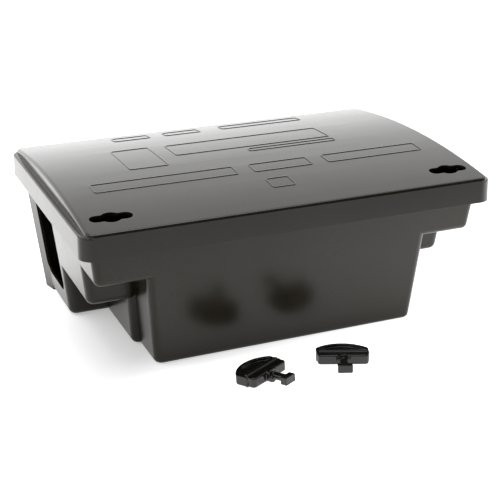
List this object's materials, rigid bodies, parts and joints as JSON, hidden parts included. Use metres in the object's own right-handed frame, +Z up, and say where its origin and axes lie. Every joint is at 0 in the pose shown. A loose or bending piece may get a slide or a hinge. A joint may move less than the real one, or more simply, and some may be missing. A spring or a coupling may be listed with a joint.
{
  "type": "rodent bait station",
  "caption": "Lockable black rodent bait station with a stepped tub, end entrances, hinged curved lid, key locks and a lift-out bait tray.",
  "frame": {"origin": "on the surface that the station stands on, under the middle of the lid", "axes": "+Z up, -Y the front (the side with the locks), +X the right-hand end seen from the front"},
  "size_m": [0.305, 0.2609, 0.1179],
  "materials": {
    "base_plastic": "satin injection-moulded black polypropylene",
    "lid_plastic": "satin black with a fine moulded grain",
    "insert_plastic": "matt dark grey moulding",
    "lock_plastic": "matt black moulding",
    "key_plastic": "glossy black moulding",
    "bait_wax": "waxy green extruded bait",
    "steel": "zinc-plated steel wire and strip"
  },
  "bodies": {
    "base": {"base_tub": "base_plastic", "hinge_pin_left": "steel", "hinge_pin_right": "steel", "baffle_left": "insert_plastic", "baffle_right": "insert_plastic", "lock_clip_left": "steel", "lock_clip_right": "steel", "lock_washer_left": "steel", "lock_washer_right": "steel"},
    "lid": {"lid": "lid_plastic"},
    "lock_left": {"lock_barrel_left": "lock_plastic"},
    "lock_right": {"lock_barrel_right": "lock_plastic"},
    "tray": {"bait_tray": "insert_plastic"},
    "rod_front": {"bait_rod_front": "steel"},
    "rod_rear": {"bait_rod_rear": "steel"},
    "block_front_left": {"bait_block_front_left": "bait_wax"},
    "block_front_right": {"bait_block_front_right": "bait_wax"},
    "block_rear_left": {"bait_block_rear_left": "bait_wax"},
    "block_rear_right": {"bait_block_rear_right": "bait_wax"},
    "key_left": {"key_left": "key_plastic"},
    "key_right": {"key_right": "key_plastic"}
  },
  "joints": [
    {"name": "lid_hinge", "type": "hinge", "parent": "base", "child": "lid", "pos_m": [0, 0.0975, 0.095], "axis": [-1, 0, 0], "range_deg": [0, 105]},
    {"name": "lock_left_turn", "type": "hinge", "parent": "base", "child": "lock_left", "pos_m": [-0.1262, -0.0834, 0.09], "axis": [0, 0, -1], "range_deg": [0, 90]},
    {"name": "lock_right_turn", "type": "hinge", "parent": "base", "child": "lock_right", "pos_m": [0.1262, -0.0834, 0.09], "axis": [0, 0, 1], "range_deg": [0, 90]},
    {"name": "tray_lift", "type": "slide", "parent": "base", "child": "tray", "axis": [0, 0, 1], "range_m": [0, 0.03]},
    {"name": "rod_front_lift", "type": "slide", "parent": "tray", "child": "rod_front", "axis": [0, 0, 1], "range_m": [0, 0.015]},
    {"name": "rod_rear_lift", "type": "slide", "parent": "tray", "child": "rod_rear", "axis": [0, 0, 1], "range_m": [0, 0.015]},
    {"name": "block_front_left_slide", "type": "slide", "parent": "rod_front", "child": "block_front_left", "axis": [-1, 0, 0], "range_m": [0, 0.025]},
    {"name": "block_front_right_slide", "type": "slide", "parent": "rod_front", "child": "block_front_right", "axis": [1, 0, 0], "range_m": [0, 0.025]},
    {"name": "block_rear_left_slide", "type": "slide", "parent": "rod_rear", "child": "block_rear_left", "axis": [-1, 0, 0], "range_m": [0, 0.025]},
    {"name": "block_rear_right_slide", "type": "slide", "parent": "rod_rear", "child": "block_rear_right", "axis": [1, 0, 0], "range_m": [0, 0.025]},
    {"name": "key_left_pick_up", "type": "slide", "parent": "base", "child": "key_left", "axis": [0, 0, 1], "range_m": [0, 0.12]},
    {"name": "key_right_pick_up", "type": "slide", "parent": "base", "child": "key_right", "axis": [0, 0, 1], "range_m": [0, 0.12]}
  ]
}
